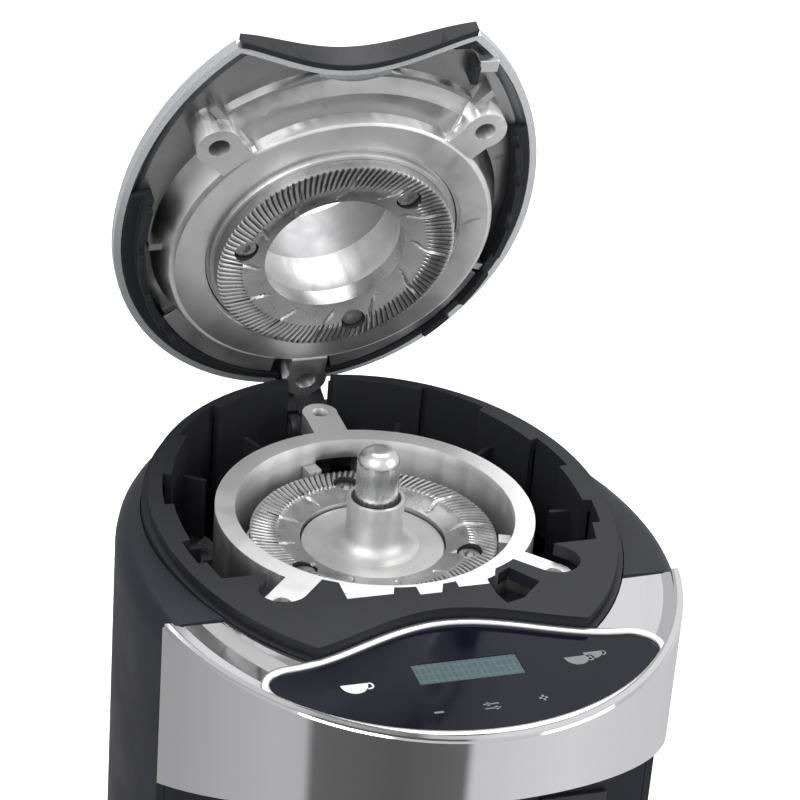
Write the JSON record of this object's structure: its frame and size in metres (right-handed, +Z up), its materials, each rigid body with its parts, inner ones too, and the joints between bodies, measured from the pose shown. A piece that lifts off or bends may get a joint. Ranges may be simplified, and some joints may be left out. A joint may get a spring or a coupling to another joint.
{
  "type": "burr coffee grinder",
  "caption": "Electric flat burr coffee grinder with its lid hinged open over the grinding chamber, touch panel, portafilter fork and drip tray.",
  "frame": {"origin": "on the worktop, under the middle of the object's bounding box at rest, lid open", "axes": "+Z up, -Y is the front with the touch panel, +X is the machine's right as seen from the front"},
  "size_m": [0.19, 0.3431, 0.5073],
  "materials": {
    "black_housing": "satin black moulded housing",
    "black_collar": "fine-grained black moulding",
    "black_liner": "dull black moulding",
    "chrome_front": "polished chrome plate",
    "panel_glass": "black back-painted glass",
    "panel_print": "pale printed symbols",
    "lcd": "grey-green liquid crystal",
    "cast_aluminium": "die-cast, machined on its faces",
    "machined_steel": "turned",
    "burr_steel": "hardened, ground faces",
    "polished_steel": "polished",
    "fasteners": "zinc plated",
    "lid_metal": "silver lacquer",
    "base_metal": "black powder coat",
    "sheet_steel": "plain sheet",
    "rubber": "moulded rubber",
    "control_plastic": "black moulding",
    "motor_iron": "laminated iron",
    "copper": "enamelled copper",
    "board": "green laminate"
  },
  "bodies": {
    "grinder_body": {"base_plate": "base_metal", "bottom_cover": "sheet_steel", "rubber_feet": "rubber", "base_screws": "fasteners", "housing": "black_housing", "front_panel": "black_housing", "rear_grille": "control_plastic", "front_cover": "chrome_front", "head_floor": "black_collar", "touch_panel": "panel_glass", "panel_symbols": "panel_print", "lcd_module": "lcd", "control_board": "board", "collar": "black_collar", "chamber": "cast_aluminium", "shaft_seal": "rubber", "motor_plate": "cast_aluminium", "motor_posts": "sheet_steel", "motor_can": "sheet_steel", "stator_core": "motor_iron", "stator_windings": "copper", "lower_bell": "cast_aluminium", "upper_bearing": "machined_steel", "lower_bearing": "machined_steel", "motor_bolts": "fasteners", "chamber_bolts": "fasteners", "grounds_chute": "control_plastic", "outlet_spout": "polished_steel", "fork_rail": "machined_steel", "dose_switch": "control_plastic", "rocker_frame": "control_plastic", "power_inlet": "control_plastic", "power_board": "board", "capacitor": "sheet_steel", "hinge_bracket": "base_metal", "hinge_pin": "polished_steel"},
    "spindle": {"motor_rotor": "motor_iron", "shaft": "machined_steel", "cooling_fan": "control_plastic", "burr_carrier": "cast_aluminium", "lower_burr": "burr_steel", "lower_burr_screws": "fasteners", "spindle_tip": "polished_steel"},
    "lid": {"lid_cover": "lid_metal", "lid_casting": "cast_aluminium", "lid_liner": "black_liner", "hopper_neck": "lid_metal", "hinge_arm": "base_metal", "lid_screws": "fasteners"},
    "burr_feed": {"upper_carrier": "cast_aluminium", "upper_burr": "burr_steel", "upper_burr_screws": "fasteners"},
    "dial": {"grind_dial": "control_plastic"},
    "fork": {"fork_holder": "base_metal", "portafilter_fork": "polished_steel", "fork_sleeves": "rubber"},
    "knob": {"fork_knob": "control_plastic"},
    "dose_key": {"dose_button": "control_plastic"},
    "rocker": {"power_rocker": "control_plastic"},
    "tray": {"drip_tray": "sheet_steel"}
  },
  "joints": [
    {"name": "lid_hinge", "type": "hinge", "parent": "grinder_body", "child": "lid", "pos_m": [0, 0.13, 0.344], "axis": [1, 0, 0], "range_deg": [0, 71.6]},
    {"name": "spindle_spin", "type": "hinge", "parent": "grinder_body", "child": "spindle", "pos_m": [0, 0.052, 0.3], "axis": [0, 0, 1], "continuous": true},
    {"name": "dial_turn", "type": "hinge", "parent": "lid", "child": "dial", "pos_m": [0, 0.14808, 0.43222], "axis": [0, 0.9489, 0.3156], "range_deg": [0, 720]},
    {"name": "burr_travel", "type": "slide", "parent": "lid", "child": "burr_feed", "axis": [0, -0.9489, -0.3156], "range_m": [0, 0.00301]},
    {"name": "fork_height", "type": "slide", "parent": "grinder_body", "child": "fork", "axis": [0, 0, 1], "range_m": [-0.01, 0.012]},
    {"name": "knob_turn", "type": "hinge", "parent": "fork", "child": "knob", "pos_m": [0.02, -0.021, 0.194], "axis": [1, 0, 0], "range_deg": [0, 360]},
    {"name": "dose_press", "type": "slide", "parent": "grinder_body", "child": "dose_key", "axis": [0, 1, 0], "range_m": [0, 0.004], "stiffness_N_per_m": 400, "springref_m": -0.002},
    {"name": "rocker_flip", "type": "hinge", "parent": "grinder_body", "child": "rocker", "pos_m": [0.058, -0.001, 0.256], "axis": [1, 0, 0], "range_deg": [-24, 0]},
    {"name": "tray_slide", "type": "slide", "parent": "grinder_body", "child": "tray", "axis": [0, -1, 0], "range_m": [0, 0.12]}
  ],
  "couplings": [
    {"joint": "burr_travel", "follows": "dial_turn", "m_per_rad": 0.00023873}
  ]
}
